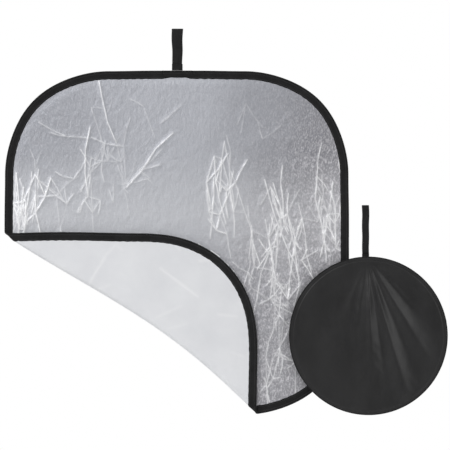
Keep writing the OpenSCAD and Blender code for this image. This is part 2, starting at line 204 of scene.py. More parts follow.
class Tree:
    """A node tree, with a short method for each kind of node."""

    def __init__(self, tree):
        self.nodes = tree.nodes
        self.link = tree.links.new

    def math(self, op, a, b=None, c=None):
        n = self.nodes.new("ShaderNodeMath")
        n.operation = op
        for i, v in enumerate((a, b, c)):
            if v is None:
                continue
            if isinstance(v, (int, float)):
                n.inputs[i].default_value = v
            else:
                self.link(v, n.inputs[i])
        return n.outputs[0]

    def scaled(self, value, factor, more):
        """value times factor, plus more."""
        return self.math("MULTIPLY_ADD", value, factor, more)

    def mix_colour(self, factor, a, b):
        n = self.nodes.new("ShaderNodeMix")
        n.data_type = "RGBA"
        for socket, v in ((n.inputs[0], factor), (n.inputs[6], a), (n.inputs[7], b)):
            if isinstance(v, tuple):
                socket.default_value = (*v, 1)
            else:
                self.link(v, socket)
        return n.outputs[2]

    def noise(self, vector, scale, detail=4, roughness=0.5, stretch=None):
        if stretch is not None:
            mapping = self.nodes.new("ShaderNodeMapping")
            mapping.inputs["Scale"].default_value = stretch
            self.link(vector, mapping.inputs["Vector"])
            vector = mapping.outputs[0]
        n = self.nodes.new("ShaderNodeTexNoise")
        n.inputs["Scale"].default_value = scale
        n.inputs["Detail"].default_value = detail
        n.inputs["Roughness"].default_value = roughness
        self.link(vector, n.inputs["Vector"])
        return n.outputs["Fac"]

    def ramp(self, value, stops):
        n = self.nodes.new("ShaderNodeValToRGB")
        elements = n.color_ramp.elements
        while len(elements) < len(stops):
            elements.new(0.5)
        for element, (place, colour) in zip(elements, stops):
            element.position = place
            element.color = (*colour, 1)
        self.link(value, n.inputs["Fac"])
        return n.outputs["Color"]

    def bump(self, height, strength, distance, normal=None):
        n = self.nodes.new("ShaderNodeBump")
        n.inputs["Strength"].default_value = strength
        n.inputs["Distance"].default_value = distance
        self.link(height, n.inputs["Height"])
        if normal is not None:
            self.link(normal, n.inputs["Normal"])
        return n.outputs["Normal"]

    def object_coords(self):
        return self.nodes.new("ShaderNodeTexCoord").outputs["Object"]

    def split(self, vector):
        n = self.nodes.new("ShaderNodeSeparateXYZ")
        self.link(vector, n.inputs[0])
        return n.outputs

    def uv_coords(self):
        n = self.nodes.new("ShaderNodeUVMap")
        n.uv_map = "cloth"
        return n.outputs["UV"]

    def wave(self, vector, scale, direction):
        n = self.nodes.new("ShaderNodeTexWave")
        n.wave_type = "BANDS"
        n.bands_direction = direction
        n.inputs["Scale"].default_value = scale
        n.inputs["Distortion"].default_value = 0.4
        self.link(vector, n.inputs["Vector"])
        return n.outputs["Fac"]

    def attribute(self, name):
        n = self.nodes.new("ShaderNodeAttribute")
        n.attribute_name = name
        return n.outputs["Fac"]


class Look(Tree):
    """A material's node tree, with its shader."""

    def __init__(self, name):
        self.material = bpy.data.materials.new(name)
        self.material.use_nodes = True
        super().__init__(self.material.node_tree)
        self.shader = self.nodes["Principled BSDF"]

    def set(self, name, value):
        """Gives one of the shader's inputs a number or the output of a node."""
        if isinstance(value, (int, float)):
            self.shader.inputs[name].default_value = value
        else:
            self.link(value, self.shader.inputs[name])

    def finish(self, specular, sheen, sheen_roughness):
        self.set("Specular IOR Level", specular)
        self.set("Sheen Weight", sheen)
        self.set("Sheen Roughness", sheen_roughness)


def silver_material():
    look = Look("silver_cloth")
    at = look.object_coords()
    axes = look.split(at)
    # The tone ramp below paints reflection into the colour by place on the panel: lightest bluish grey
    # left of the middle, darker to the right, mauve grey at the far right edge, shifted by soft noise.
    across = look.scaled(axes["X"], 1 / SIZE, -LEFT / SIZE)
    down = look.scaled(axes["Z"], -1 / SIZE, TOP / SIZE)
    lean = look.scaled(across, 0.85, -0.1)
    lean = look.math("ADD", lean, look.math("MULTIPLY", down, 0.2))
    drift = look.noise(at, 3.2, 3)
    lean = look.math("ADD", lean, look.scaled(drift, 0.3, -0.15))
    tone = look.ramp(lean, [
        (0.0, (0.33, 0.345, 0.38)), (0.4, (0.50, 0.52, 0.565)), (0.68, (0.28, 0.29, 0.32)),
        (0.86, (0.20, 0.205, 0.225)), (1.0, (0.34, 0.325, 0.34))])
    # Painted reflection: lighter in a band about two fifths of the way down the panel, and a little
    # lighter towards the bottom.
    lift = look.ramp(down, [
        (0.24, (0, 0, 0)), (0.42, (0.52, 0.52, 0.52)), (0.60, (0.10, 0.10, 0.10)),
        (1.0, (0.20, 0.20, 0.20))])
    tone = look.mix_colour(lift, tone, (0.80, 0.82, 0.85))
    # Painted sheen: lighter where fine creases catch the light.
    painted_sheen = look.attribute("painted_sheen")
    tone = look.mix_colour(painted_sheen, tone, (0.80, 0.82, 0.85))
    # Darker mauve streaks, strongest where the cloth is crumpled; the streak noise also varies the
    # roughness.
    streak = look.noise(at, 60, 6, 0.65, (0.35, 1, 2.6))
    crumple_and_sparkle = look.attribute("crumple_and_sparkle")
    mauve_streak = look.math("MULTIPLY", streak, look.scaled(crumple_and_sparkle, 0.7, 0.12))
    tone = look.mix_colour(mauve_streak, tone, (0.30, 0.285, 0.30))
    # Painted sparkle: light grey specks in the colour, strongest where the cloth is crumpled, stand in
    # for glints off the weave.
    painted_sparkle = look.noise(at, 190, 3, 0.7, (1, 1, 0.55))
    painted_sparkle = look.ramp(painted_sparkle, [(0.45, (0, 0, 0)), (0.66, (1, 1, 1))])
    painted_sparkle = look.math("MULTIPLY", painted_sparkle, crumple_and_sparkle)
    tone = look.mix_colour(painted_sparkle, tone, (0.66, 0.65, 0.68))
    # Painted highlight: the crease lines are painted near white, standing in for the light they catch;
    # the ridges themselves are real geometry.
    crease = look.attribute("crease")
    tone = look.mix_colour(crease, tone, (0.97, 0.975, 0.985))
    look.set("Base Color", tone)
    look.set("Metallic", 0.65)
    rough = look.scaled(streak, 0.15, 0.34)
    look.set("Roughness", rough)
    fine = look.noise(at, 420, 2, 0.5, (0.5, 1, 1.6))
    crinkle = look.noise(at, 46, 7, 0.7, (1.5, 1, 0.8))
    crinkle = look.math("MULTIPLY", crinkle, look.scaled(crumple_and_sparkle, 0.7, 0.4))
    first = look.bump(crinkle, 0.5, 4 * MM)
    second = look.bump(fine, 0.3, 0.6 * MM, first)
    look.set("Normal", second)
    return look.material


def white_material():
    look = Look("white_cloth")
    at = look.object_coords()
    mottle = look.noise(at, 7, 5, 0.6)
    tone = look.ramp(mottle, [(0.3, (0.715, 0.725, 0.75)), (0.7, (0.775, 0.785, 0.805))])
    # Painted highlight: the creases are painted lighter in the colour.
    crease = look.attribute("crease")
    tone = look.mix_colour(look.math("MULTIPLY", crease, 0.55), tone, (0.94, 0.94, 0.95))
    look.set("Base Color", tone)
    look.set("Roughness", 0.62)
    look.set("Sheen Weight", 0.25)
    look.set("Sheen Roughness", 0.4)
    weave = look.noise(at, 500, 2, 0.5, (1, 1, 0.5))
    soft = look.noise(at, 22, 4, 0.55)
    look.set("Normal", look.bump(weave, 0.2, 0.4 * MM, look.bump(soft, 0.2, 2 * MM)))
    return look.material


def dark_cloth_material(name, tone_lo, tone_hi, rib, rib_axis, rough, rows=()):
    """Black woven goods whose weave follows the piece: UV runs along and across it, in metres."""
    look = Look(name)
    uv = look.uv_coords()
    at = look.object_coords()
    fuzz = look.noise(at, 260, 4, 0.6)
    blotch = look.noise(at, 18, 4, 0.6)
    value = look.scaled(fuzz, 0.5, look.math("MULTIPLY", blotch, 0.5))
    tone = look.ramp(value, [(0.36, tone_lo), (0.64, tone_hi)])
    weave = look.wave(uv, rib, rib_axis)
    height = look.scaled(fuzz, 0.5, weave)
    normal = look.bump(height, 0.5, 0.5 * MM)
    if rows:
        axes = look.split(uv)
        thread = None
        for row in rows:
            off = look.math("ABSOLUTE", look.math("SUBTRACT", axes["Y"], row))
            hit = look.math("LESS_THAN", off, 0.6 * MM)
            thread = hit if thread is None else look.math("MAXIMUM", thread, hit)
        pitch = look.math("PINGPONG", axes["X"], 1.8 * MM)
        dash = look.math("LESS_THAN", pitch, 1.2 * MM)
        stitch = look.math("MULTIPLY", thread, dash)
        tone = look.mix_colour(stitch, tone, (0.05, 0.05, 0.052))
        normal = look.bump(stitch, 0.6, 0.5 * MM, normal)
    look.set("Base Color", tone)
    look.set("Roughness", rough)
    look.finish(0.22, 0.03, 0.5)
    look.set("Normal", normal)
    return look.material


def case_material():
    look = Look("case_cloth")
    at = look.object_coords()
    weave = look.noise(at, 600, 2, 0.5)
    blotch = look.noise(at, 9, 5, 0.6, (1.6, 1, 0.6))
    value = look.scaled(weave, 0.4, look.math("MULTIPLY", blotch, 0.6))
    tone = look.ramp(value, [(0.36, (0.005, 0.005, 0.0052)), (0.64, (0.011, 0.011, 0.0115))])
    look.set("Base Color", tone)
    rough = look.scaled(blotch, 0.15, 0.30)
    look.set("Roughness", rough)
    look.finish(0.5, 0.03, 0.45)
    slub = look.noise(at, 30, 5, 0.6)
    look.set("Normal", look.bump(weave, 0.3, 0.4 * MM, look.bump(slub, 0.25, 1.5 * MM)))
    return look.material


def metal_material(name, colour, rough):
    look = Look(name)
    at = look.object_coords()
    wear = look.noise(at, 300, 5, 0.6)
    dark = tuple(0.7 * c for c in colour)
    look.set("Base Color", look.ramp(wear, [(0.35, dark), (0.65, colour)]))
    look.set("Metallic", 1.0)
    look.set("Roughness", look.scaled(wear, 0.2, rough))
    look.set("Normal", look.bump(wear, 0.15, 0.2 * MM))
    return look.material


# ---- mesh helpers ----

def mesh_piece(name, verts, faces, material, uv=None, values=None):
    mesh = bpy.data.meshes.new(name)
    mesh.from_pydata([tuple(v) for v in verts], [], [tuple(f) for f in faces])
    mesh.validate()
    mesh.shade_smooth()
    if uv is not None:
        layer = mesh.uv_layers.new(name="cloth")
        loops = np.empty(len(mesh.loops), dtype=np.int32)
        mesh.loops.foreach_get("vertex_index", loops)
        layer.data.foreach_set("uv", np.asarray(uv, np.float32)[loops].ravel())
    for key, data in (values or {}).items():
        layer = mesh.attributes.new(key, "FLOAT", "POINT")
        layer.data.foreach_set("value", np.asarray(data, np.float32))
    mesh.materials.append(material)
    return new_object(name, mesh)


def grid_faces(rows, cols, close_rows=False, close_cols=False):
    r = np.arange(rows if close_rows else rows - 1)
    c = np.arange(cols if close_cols else cols - 1)
    rr, cc = np.meshgrid(r, c, indexing="ij")
    r1, c1 = (rr + 1) % rows, (cc + 1) % cols
    quads = np.stack([rr * cols + cc, r1 * cols + cc, r1 * cols + c1, rr * cols + c1], -1)
    return quads.reshape(-1, 4)


def capped(rows, cols, flip=False):
    """Faces of a swept tube with both ends closed."""
    faces = [tuple(f) for f in grid_faces(rows, cols, False, True)]
    first = tuple(range(cols))
    last = tuple(range((rows - 1) * cols, rows * cols))
    return faces + ([first, last[::-1]] if flip else [first[::-1], last])


def waves(seed, count, low, high, dims=1):
    """A repeatable sum of sine waves between two wavelengths, mostly between -1.5 and 1.5."""
    rng = np.random.default_rng(seed)
    k = 2 * np.pi / rng.uniform(low, high, count)
    turn = rng.uniform(0, 2 * np.pi, count)
    phase = rng.uniform(0, 2 * np.pi, count)

    def value(x, y=0.0):
        total = np.zeros_like(np.asarray(x, float) + np.asarray(y, float))
        for ki, ti, pi in zip(k, turn, phase):
            if dims == 1:
                total = total + np.sin(ki * x + pi)
            else:
                total = total + np.sin(ki * (x * math.cos(ti) + y * math.sin(ti)) + pi)
        return total / math.sqrt(count)

    return value


# ---- fold geometry ----

class Crease:
    """Wraps the panel's plane round a fold: p is the distance beyond the crease, q runs along it."""

    def __init__(self, start, slope):
        self.start = np.array(start, float)
        self.along = np.array([math.cos(slope), -math.sin(slope)])
        self.beyond = np.array([-math.sin(slope), -math.cos(slope)])

    def wrap(self, flat, h):
        """flat is (n, 2) in XZ, h the height towards the silver side. Gives (n, 3)."""
        rel = flat - self.start
        p = rel @ self.beyond
        q = rel @ self.along
        theta = np.clip(p / FOLD_R, 0, math.pi)
        round_p = (FOLD_R - h) * np.sin(theta)
        out_p = np.where(p <= 0, p, np.where(p >= math.pi * FOLD_R,
                                             math.pi * FOLD_R - p, round_p))
        y = -FOLD_R + (FOLD_R - h) * np.cos(theta)
        xz = self.start + out_p[:, None] * self.beyond + q[:, None] * self.along
        return np.stack([xz[:, 0], y, xz[:, 1]], 1)


LEFT_SLOPE = math.radians(45)
LEAD = math.pi * FOLD_R * math.sin(LEFT_SLOPE)      # how far a ribbon shifts as it goes round
LEFT_START = np.array([LEFT, FLAP_TOP - 3 * MM + LEAD])
INTO_ARC = FLAP_RIGHT + 15 * MM - ARC_RIGHT
RIGHT_TURN = math.asin(max(0.0, INTO_ARC) / CORNER_R)
RIGHT_SLOPE = (math.pi / 2 - RIGHT_TURN) / 2
RIGHT_START = np.array([
    ARC_RIGHT + INTO_ARC,
    ARC_LOW - math.sqrt(CORNER_R ** 2 - INTO_ARC ** 2)])
LEFT_CREASE = Crease(LEFT_START, LEFT_SLOPE)
RIGHT_CREASE = Crease(RIGHT_START, RIGHT_SLOPE)


def crease_inner(crease, shift):
    """Where the fold's outline meets the binding's inner edge."""
    return (crease.start + crease.along * (shift + math.pi / 2 * FOLD_R * math.copysign(1, shift))
            + crease.beyond * FOLD_R)


BOW_LEFT = crease_inner(LEFT_CREASE, BAND / math.cos(LEFT_SLOPE))
BOW_RIGHT = crease_inner(RIGHT_CREASE, -BAND / math.cos(RIGHT_SLOPE))
BOW_DIR = (BOW_RIGHT - BOW_LEFT) / np.linalg.norm(BOW_RIGHT - BOW_LEFT)
BOW_OUT = np.array([-BOW_DIR[1], BOW_DIR[0]])       # up and to the right, into the panel
BOW_LEN = float(np.linalg.norm(BOW_RIGHT - BOW_LEFT))
BOW_DEPTH = 41 * MM
CURL_R = 17 * MM                                    # radius of the loose cloth in mid fold


def bow_offset(c):
    s = np.clip(c / BOW_LEN, 0, 1)
    return BOW_DEPTH * np.sin(math.pi * s ** 1.35)


def curl_radius(c):
    s = np.clip(c / BOW_LEN, 0, 1)
    return FOLD_R + (CURL_R - FOLD_R) * np.sin(math.pi * s) ** 0.8


def rounded_square_inset(x, z):
    """Distance inwards from the open panel's outer edge."""
    cx = np.clip(x, ARC_LEFT, ARC_RIGHT)
    cz = np.clip(z, ARC_LOW, ARC_HIGH)
    in_x = (x < ARC_LEFT) | (x > ARC_RIGHT)
    in_z = (z < ARC_LOW) | (z > ARC_HIGH)
    round_off = CORNER_R - np.hypot(x - cx, z - cz)
    flat_off = np.minimum.reduce([x - LEFT, RIGHT - x, z - BOTTOM, TOP - z])
    return np.where(in_x & in_z, round_off, flat_off)


def turned_inset(x, z):
    """Distance inwards from the turned corner's outer edge."""
    cx, cz = FLAP_RIGHT - TURNED_R, FLAP_TOP - TURNED_R
    round_off = TURNED_R - np.hypot(x - cx, z - cz)
    flat_off = np.minimum(FLAP_RIGHT - x, FLAP_TOP - z)
    return np.where((x > cx) & (z > cz), round_off, flat_off)


# ---- binding ----

def binding_profile():
    """(a, h) round the section, a inwards from the outer edge, h towards the silver side."""
    front = [(0.0, 0.9), (0.5, 2.2), (1.5, 3.3), (2.9, 3.9), (4.6, 3.8), (6.4, 3.0), (8.2, 2.3),
             (9.3, 1.8), (10.4, 2.0), (14.0, 2.05), (20.0, 2.0), (25.5, 1.95), (27.0, 1.65),
             (28.4, 1.9), (30.6, 1.8), (31.8, 1.4), (32.1, 0.5)]
    back = [(a, -h) for a, h in reversed(front)]
    return np.array(front + back) * MM


def arc_run(centre, radius, a0, a1, step):
    """Outer edge points and inward directions along an arc."""
    count = max(2, int(abs(a1 - a0) * radius / step) + 1)
    angles = np.linspace(a0, a1, count)
    way = np.stack([np.cos(angles), np.sin(angles)], 1)
    return np.array(centre) + radius * way, -way


def line_run(start, end, inward, step):
    start, end = np.array(start, float), np.array(end, float)
    count = max(2, int(np.linalg.norm(end - start) / step) + 1)
    t = np.linspace(0, 1, count)[:, None]
    return start + t * (end - start), np.repeat(np.array([inward], float), count, 0)


def join_runs(runs):
    """Joins runs end to end, dropping doubled points."""
    points, inward = [runs[0][0]], [runs[0][1]]
    for p, n in runs[1:]:
        points.append(p[1:])
        inward.append(n[1:])
    return np.concatenate(points), np.concatenate(inward)


def binding_paths(step):
    over = BAND + math.pi * FOLD_R * math.sqrt(2) + 4 * MM
    tail = RIGHT_START + over * np.array([-math.cos(RIGHT_TURN), -math.sin(RIGHT_TURN)])
    end_angle = -math.pi / 2 + RIGHT_TURN
    return join_runs([
        line_run((LEFT, LEFT_START[1] - over), (LEFT, ARC_HIGH), (1, 0), step / 2),
        arc_run((ARC_LEFT, ARC_HIGH), CORNER_R, math.pi, math.pi / 2, step),
        line_run((ARC_LEFT, TOP), (ARC_RIGHT, TOP), (0, -1), step),
        arc_run((ARC_RIGHT, ARC_HIGH), CORNER_R, math.pi / 2, 0, step),
        line_run((RIGHT, ARC_HIGH), (RIGHT, ARC_LOW), (-1, 0), step),
        arc_run((ARC_RIGHT, ARC_LOW), CORNER_R, 0, end_angle, step / 2),
        line_run(RIGHT_START, tail, (-math.sin(RIGHT_TURN), math.cos(RIGHT_TURN)), step / 2),
    ])


SWELL = 8 * MM               # how far the open hoop's corners stand out
DRAW_IN = 2 * MM             # how far its sides draw in beside them
SWELL_FADE = 170 * MM        # length of side over which the drawing in fades


def corner_swell(points):
    """The open hoop's corners swell outwards a little, and its sides draw in beside them."""
    mid = (np.array([LEFT, BOTTOM]) + np.array([RIGHT, TOP])) / 2
    off = np.abs(points - mid) - (SIZE / 2 - CORNER_R)
    angle = np.arctan2(np.maximum(off[:, 1], 0), np.maximum(off[:, 0], 0))
    beside = np.minimum(off[:, 0], off[:, 1])
    fade = 1 - smooth(-beside / SWELL_FADE)
    return fade * (SWELL * np.sin(2 * angle) ** 4 - DRAW_IN)


LOOP_NARROW = 5 * MM         # how much narrower the tape is at the hang loop
LOOP_FLANK = 28 * MM         # half the length that is narrow all along
LOOP_EASE = 34 * MM          # length over which it widens again


def rim_points(profile, soft):
    """Sweeps a section round the rim, both folds and the turned corner. soft is 1 for sewn tape,
    whose section puckers and narrows, and 0 for steel."""
    step = 6 * MM
    panel_p, panel_n = binding_paths(step)
    panel_p = panel_p - corner_swell(panel_p)[:, None] * panel_n
    pucker = waves(11, 9, 0.03, 0.11)
    ripple = waves(12, 7, 0.02, 0.06)
    length = np.concatenate([[0], np.cumsum(np.linalg.norm(np.diff(panel_p, axis=0), axis=1))])
    rows = []
    half_way = len(panel_p) // 2
    loop_x = (LEFT + RIGHT) / 2 + 2 * MM
    for i, (p, n) in enumerate(zip(panel_p, panel_n)):
        a, h = profile[:, 0], profile[:, 1]
        inner = soft * smooth((a - 20 * MM) / (12 * MM))
        narrow = LOOP_NARROW * (1 - smooth((abs(p[0] - loop_x) - LOOP_FLANK) / LOOP_EASE))
        narrow = narrow if p[1] > TOP - 1 * MM else 0.0
        a = a - inner * (narrow + TAPE_RIPPLE * ripple(length[i]))
        h = h * (1 + soft * TAPE_PUCKER * pucker(length[i] + a * 3))
        flat = p[None] + a[:, None] * n[None]
        crease = LEFT_CREASE if i < half_way else RIGHT_CREASE
        if min(length[i], length[-1] - length[i]) < NEAR_FOLD:
            rows.append(crease.wrap(flat, h))
        else:
            rows.append(np.stack([flat[:, 0], -h, flat[:, 1]], 1))
    left_exit = fold_exit(LEFT_CREASE, panel_p[0])
    right_exit = fold_exit(RIGHT_CREASE, panel_p[-1])
    turned_p, turned_n = turned_path(right_exit, left_exit, step)
    for i, (p, n) in enumerate(zip(turned_p, turned_n)):
        s = step * i
        inner = soft * smooth((profile[:, 0] - 20 * MM) / (12 * MM))
        a = profile[:, 0] - inner * TAPE_RIPPLE * ripple(s)
        h = profile[:, 1] * (1 + soft * TAPE_PUCKER * pucker(s + 20 + profile[:, 0] * 3))
        flat = p[None] + a[:, None] * n[None]
        rows.append(np.stack([flat[:, 0], h - 2 * FOLD_R, flat[:, 1]], 1))
    return np.array(rows)


def fold_exit(crease, point):
    """Where the rim's outer edge comes out of a fold, in XZ."""
    return crease.wrap(point[None], np.zeros(1))[0][[0, 2]]


def turned_outline():
    """The turned corner's outer edge: a quarter turn whose bend grows and fades again.
    Gives points from the right edge to the top edge, and their inward directions."""
    power = 3
    length = math.pi / 2 * TURN_TIGHTEST * (power + 1) / power
    s = np.linspace(0, length, 140)
    bend = (1 - np.abs(2 * s / length - 1) ** power) / TURN_TIGHTEST
    ds = s[1] - s[0]
    heading = math.pi / 2 + np.concatenate([[0], np.cumsum((bend[1:] + bend[:-1]) / 2) * ds])
    mid = (heading[1:] + heading[:-1]) / 2
    x = np.concatenate([[0], np.cumsum(np.cos(mid)) * ds])
    z = np.concatenate([[0], np.cumsum(np.sin(mid)) * ds])
    points = np.stack([FLAP_RIGHT + x, FLAP_TOP + FLAP_EASE + z - z[-1]], 1)
    return points, np.stack([-np.sin(heading), np.cos(heading)], 1)


EDGE_HUMP = 4 * MM           # rise of the turned corner's top edge between its ends


def turned_path(right_exit, left_exit, step):
    """Outer edge round the turned corner, from the right fold to the left one."""
    arc, inward = turned_outline()
    up = line_run(right_exit, arc[0], (-1, 0), step)
    along = line_run(arc[-1], left_exit, (0, -1), step)
    points, inward = join_runs([up, (arc, inward), along])
    rise = np.clip((arc[-1][0] - points[:, 0]) / (arc[-1][0] - left_exit[0]), 0, 1)
    points = points + np.stack([0 * rise, EDGE_HUMP * np.sin(math.pi * rise ** 1.3)], 1)
    return points[1:-1], inward[1:-1]


def blend_corner(obj):
    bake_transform(obj)


def make_rim_piece(name, profile, soft, material, stands_for):
    rows = rim_points(profile, soft)
    n, m = rows.shape[:2]
    step = np.linalg.norm(np.diff(rows[:, m // 4], axis=0), axis=1)
    along = np.concatenate([[0], np.cumsum(step)])
    uv = np.zeros((n, m, 2))
    uv[..., 0] = along[:, None]
    uv[..., 1] = profile[None, :, 0]
    faces = grid_faces(n, m, True, True)
    obj = mesh_piece(name, rows.reshape(-1, 3), faces, material, uv.reshape(-1, 2))
    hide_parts(*stands_for)
    blend_corner(obj)


def make_rim(tape, steel):
    make_rim_piece("rim_binding_tape", binding_profile(), 1, tape,
                   ("rim_binding", "rim_binding_corner", "rim_fold_left", "rim_fold_right"))
    outer, inner, edge = HOOP_OUTER, HOOP_OUTER + HOOP_THICK, HOOP_WIDTH / 2
    strip = np.array([(outer, -edge), (outer, edge), (inner, edge), (inner, -edge)])
    make_rim_piece("hoop_strip", strip, 0, steel,
                   ("hoop", "hoop_corner", "hoop_fold_left", "hoop_fold_right"))


# ---- cloths ----

# Broad areas where the silver cloth has been crushed, as rough shares of the panel from its top
# left: centre, spread, number of knots, usual length of a crease, lean from upright, strength
CRUSHED = [
    ((0.05, 0.4), (0.03, 0.06), 24, 0.09, 0.25, 0.95),
    ((0.2, 0.35), (0.1, 0.08), 18, 0.09, 0.5, 0.55),
    ((0.4, 0.25), (0.13, 0.1), 16, 0.11, 0.9, 0.4),
    ((0.65, 0.4), (0.05, 0.1), 18, 0.12, 0.25, 0.9),
    ((0.8, 0.5), (0.05, 0.08), 26, 0.1, 0.3, 0.95),
    ((0.95, 0.45), (0.04, 0.1), 22, 0.11, 0.35, 1.0),
    ((0.8, 0.75), (0.05, 0.12), 36, 0.06, 0.9, 0.7),
]
LONG_CREASES = 20
PAINTED_SHEEN = 0.4                   # how much lighter the painted sheen makes the strongest of these areas
CREASE_REACH = 0.14          # knots nearer than this share of the panel are joined by a crease


def crease_segments():
    """A seeded web of straight creases: (x0, z0, x1, z1, strength) in metres."""
    rng = np.random.default_rng(52)
    out = []
    starts = []

    def add(start, end, strength):
        out.append((LEFT + start[0] * SIZE, TOP - start[1] * SIZE,
                    LEFT + end[0] * SIZE, TOP - end[1] * SIZE, strength))

    def ray(start, tilt, reach, strength, bends):
        for _ in range(bends):
            tilt = tilt + rng.normal() * 0.16
            end = (start[0] + reach / bends * math.sin(tilt), start[1] + reach / bends * math.cos(tilt))
            add(start, end, strength)
            start = end

    for centre, spread, knots, size, lean, force in CRUSHED:
        places = [rng.normal(centre, spread) for _ in range(knots)]
        for i, knot in enumerate(places):
            starts.append((knot, lean))
            across = [(abs(p[0] - knot[0]) * 2.2 + abs(p[1] - knot[1]) * 0.8, j)
                      for j, p in enumerate(places) if j > i]
            for gap, j in sorted(across)[:2]:
                if gap < CREASE_REACH:
                    add(knot, places[j], force * rng.uniform(0.3, 1.1))
            for _ in range(rng.integers(1, 4)):
                upwards = math.pi * (rng.random() < 0.45)
                ray(knot, upwards + rng.normal() * lean, size * rng.uniform(0.15, 0.9),
                    force * rng.uniform(0.2, 1.1), 2)
    for _ in range(LONG_CREASES):
        knot, lean = starts[rng.integers(len(starts))]
        ray(knot, math.pi * (rng.random() < 0.4) + rng.normal() * 0.6 * lean,
            rng.uniform(0.1, 0.24), rng.uniform(0.5, 1.0), 3)
    return out


def ridge_field(x, z, segments, width):
    """Ridges along the segments: their own strength on the line, fading over about the width."""
    field = np.zeros_like(x)
    reach = 4 * width
    for x0, z0, x1, z1, strength in segments:
        near = ((x > min(x0, x1) - reach) & (x < max(x0, x1) + reach)
                & (z > min(z0, z1) - reach) & (z < max(z0, z1) + reach))
        if not near.any():
            continue
        px, pz = x[near] - x0, z[near] - z0
        dx, dz = x1 - x0, z1 - z0
        t = np.clip((px * dx + pz * dz) / max(dx * dx + dz * dz, 1e-9), 0, 1)
        off = np.hypot(px - t * dx, pz - t * dz)
        taper = 0.7 + 0.3 * np.sin(math.pi * np.clip(t, 0.05, 0.95))
        ridge = strength * taper * np.exp(-(off / width) ** 2)
        field[near] = np.maximum(field[near], ridge)
    return field


def cloth_grid(step):
    """Columns run along the fold. Rows run from the panel's far edge round the fold to the
    turned corner's far edge. Gives the places of the columns and of three groups of rows."""
    reach_panel = 1.32 * SIZE
    reach_corner = 0.62 * SIZE
    cols = np.arange(-reach_corner, BOW_LEN + reach_corner, step)
    rows_panel = np.arange(reach_panel, step / 2, -step)
    rows_turn = np.linspace(0, math.pi, 13)
    rows_flap = np.arange(step, reach_corner, step)
    return cols, rows_panel, rows_turn, rows_flap


CLOTH_LAY = 0.3 * MM         # distance from the middle of the pair to each cloth
CURL_FREE = 110 * MM         # distance from the binding over which the turned cloth comes free of it
CURL_FADE = 0.3 * SIZE       # distance from the fold over which the turned cloth settles


def make_cloth(cloth, side, material, shape, step):
    """side is 1 for the silver cloth, in front on the panel, and -1 for the white one."""
    cols, rows_panel, rows_turn, rows_flap = cloth_grid(step)
    b = bow_offset(cols)
    r = curl_radius(cols)
    flat, y, zone, turn = [], [], [], []

    def add_row(away, depth, row_zone, theta):
        flat.append(np.stack([cols, away], 1))
        y.append(depth)
        zone.append(np.full_like(cols, row_zone))
        turn.append(np.full_like(cols, theta))

    for d in rows_panel:
        add_row(b + r + d, np.zeros_like(cols), 0, 0)
    for theta in rows_turn:
        radius = r - side * CLOTH_LAY
        add_row(b + r - radius * math.sin(theta), -r + radius * math.cos(theta), 1, theta)
    for d in rows_flap:
        at = BOW_LEFT + cols[:, None] * BOW_DIR + (b + r + d)[:, None] * BOW_OUT
        free = smooth((turned_inset(at[:, 0], at[:, 1]) - BAND) / CURL_FREE)
        proud = (r - FOLD_R) * (1 - smooth(d / CURL_FADE)) * free
        add_row(b + r + d, -2 * (FOLD_R + proud), 2, math.pi)
    flat = np.array(flat)
    y, zone, turn = np.array(y), np.array(zone), np.array(turn)
    xz = BOW_LEFT + flat[..., :1] * BOW_DIR + flat[..., 1:] * BOW_OUT
    x, z = xz[..., 0], xz[..., 1]
    lift, values = shape(x, z, zone)
    # Out of the cloth's outer face: towards the viewer on the panel's silver side
    facing = np.cos(turn) * side
    y = y - facing * lift - np.where(zone == 1, 0, facing * CLOTH_LAY)
    beyond_l = (xz - LEFT_CREASE.start) @ LEFT_CREASE.beyond
    beyond_r = (xz - RIGHT_CREASE.start) @ RIGHT_CREASE.beyond
    inside_panel = rounded_square_inset(x, z) > BAND_TUCK
    inside_flap = turned_inset(x, z) > BAND_TUCK
    near_l = cols[None, :] < FOLD_END
    near_r = cols[None, :] > BOW_LEN - FOLD_END
    past_fold = (near_l & (beyond_l > -FOLD_GAP)) | (near_r & (beyond_r > -FOLD_GAP))
    clear = ~(past_fold & (zone != 1))
    in_turn = (cols[None, :] > -TURN_TUCK) & (cols[None, :] < BOW_LEN + TURN_TUCK)
    keep = np.where(zone == 0, inside_panel & clear, np.where(zone == 1, in_turn, inside_flap & clear))
    keep = keep.astype(bool)
    n, m = keep.shape
    faces = grid_faces(n, m)
    good = keep.ravel()[faces].all(axis=1)
    faces = faces[good]
    if side < 0:
        faces = faces[:, ::-1]
    used = np.unique(faces)
    index = np.full(n * m, -1)
    index[used] = np.arange(len(used))
    verts = np.stack([x.ravel(), y.ravel(), z.ravel()], 1)[used]
    chosen = {k: v.ravel()[used] for k, v in values.items()}
    obj = mesh_piece(cloth + "_sheet", verts, index[faces], material, values=chosen)
    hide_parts(cloth, cloth + "_corner", cloth + "_fold")
    blend_corner(obj)


def edge_fade(x, z, zone):
    """0 under the binding, 1 a little way into the cloth."""
    off = np.where(zone == 2, turned_inset(x, z), rounded_square_inset(x, z))
    return smooth((off - 28 * MM) / (30 * MM))


def painted_sheen_field(across, down):
    """Painted sheen: lighter where crushed cloth is so finely creased that it catches the light."""
    total = np.zeros_like(across)
    for (cx, cz), (sx, sz), _, _, _, force in CRUSHED:
        off = ((across - cx) / sx) ** 2 + ((down - cz) / sz) ** 2
        total += PAINTED_SHEEN * force ** 2 * np.exp(-off / 2)
    return total


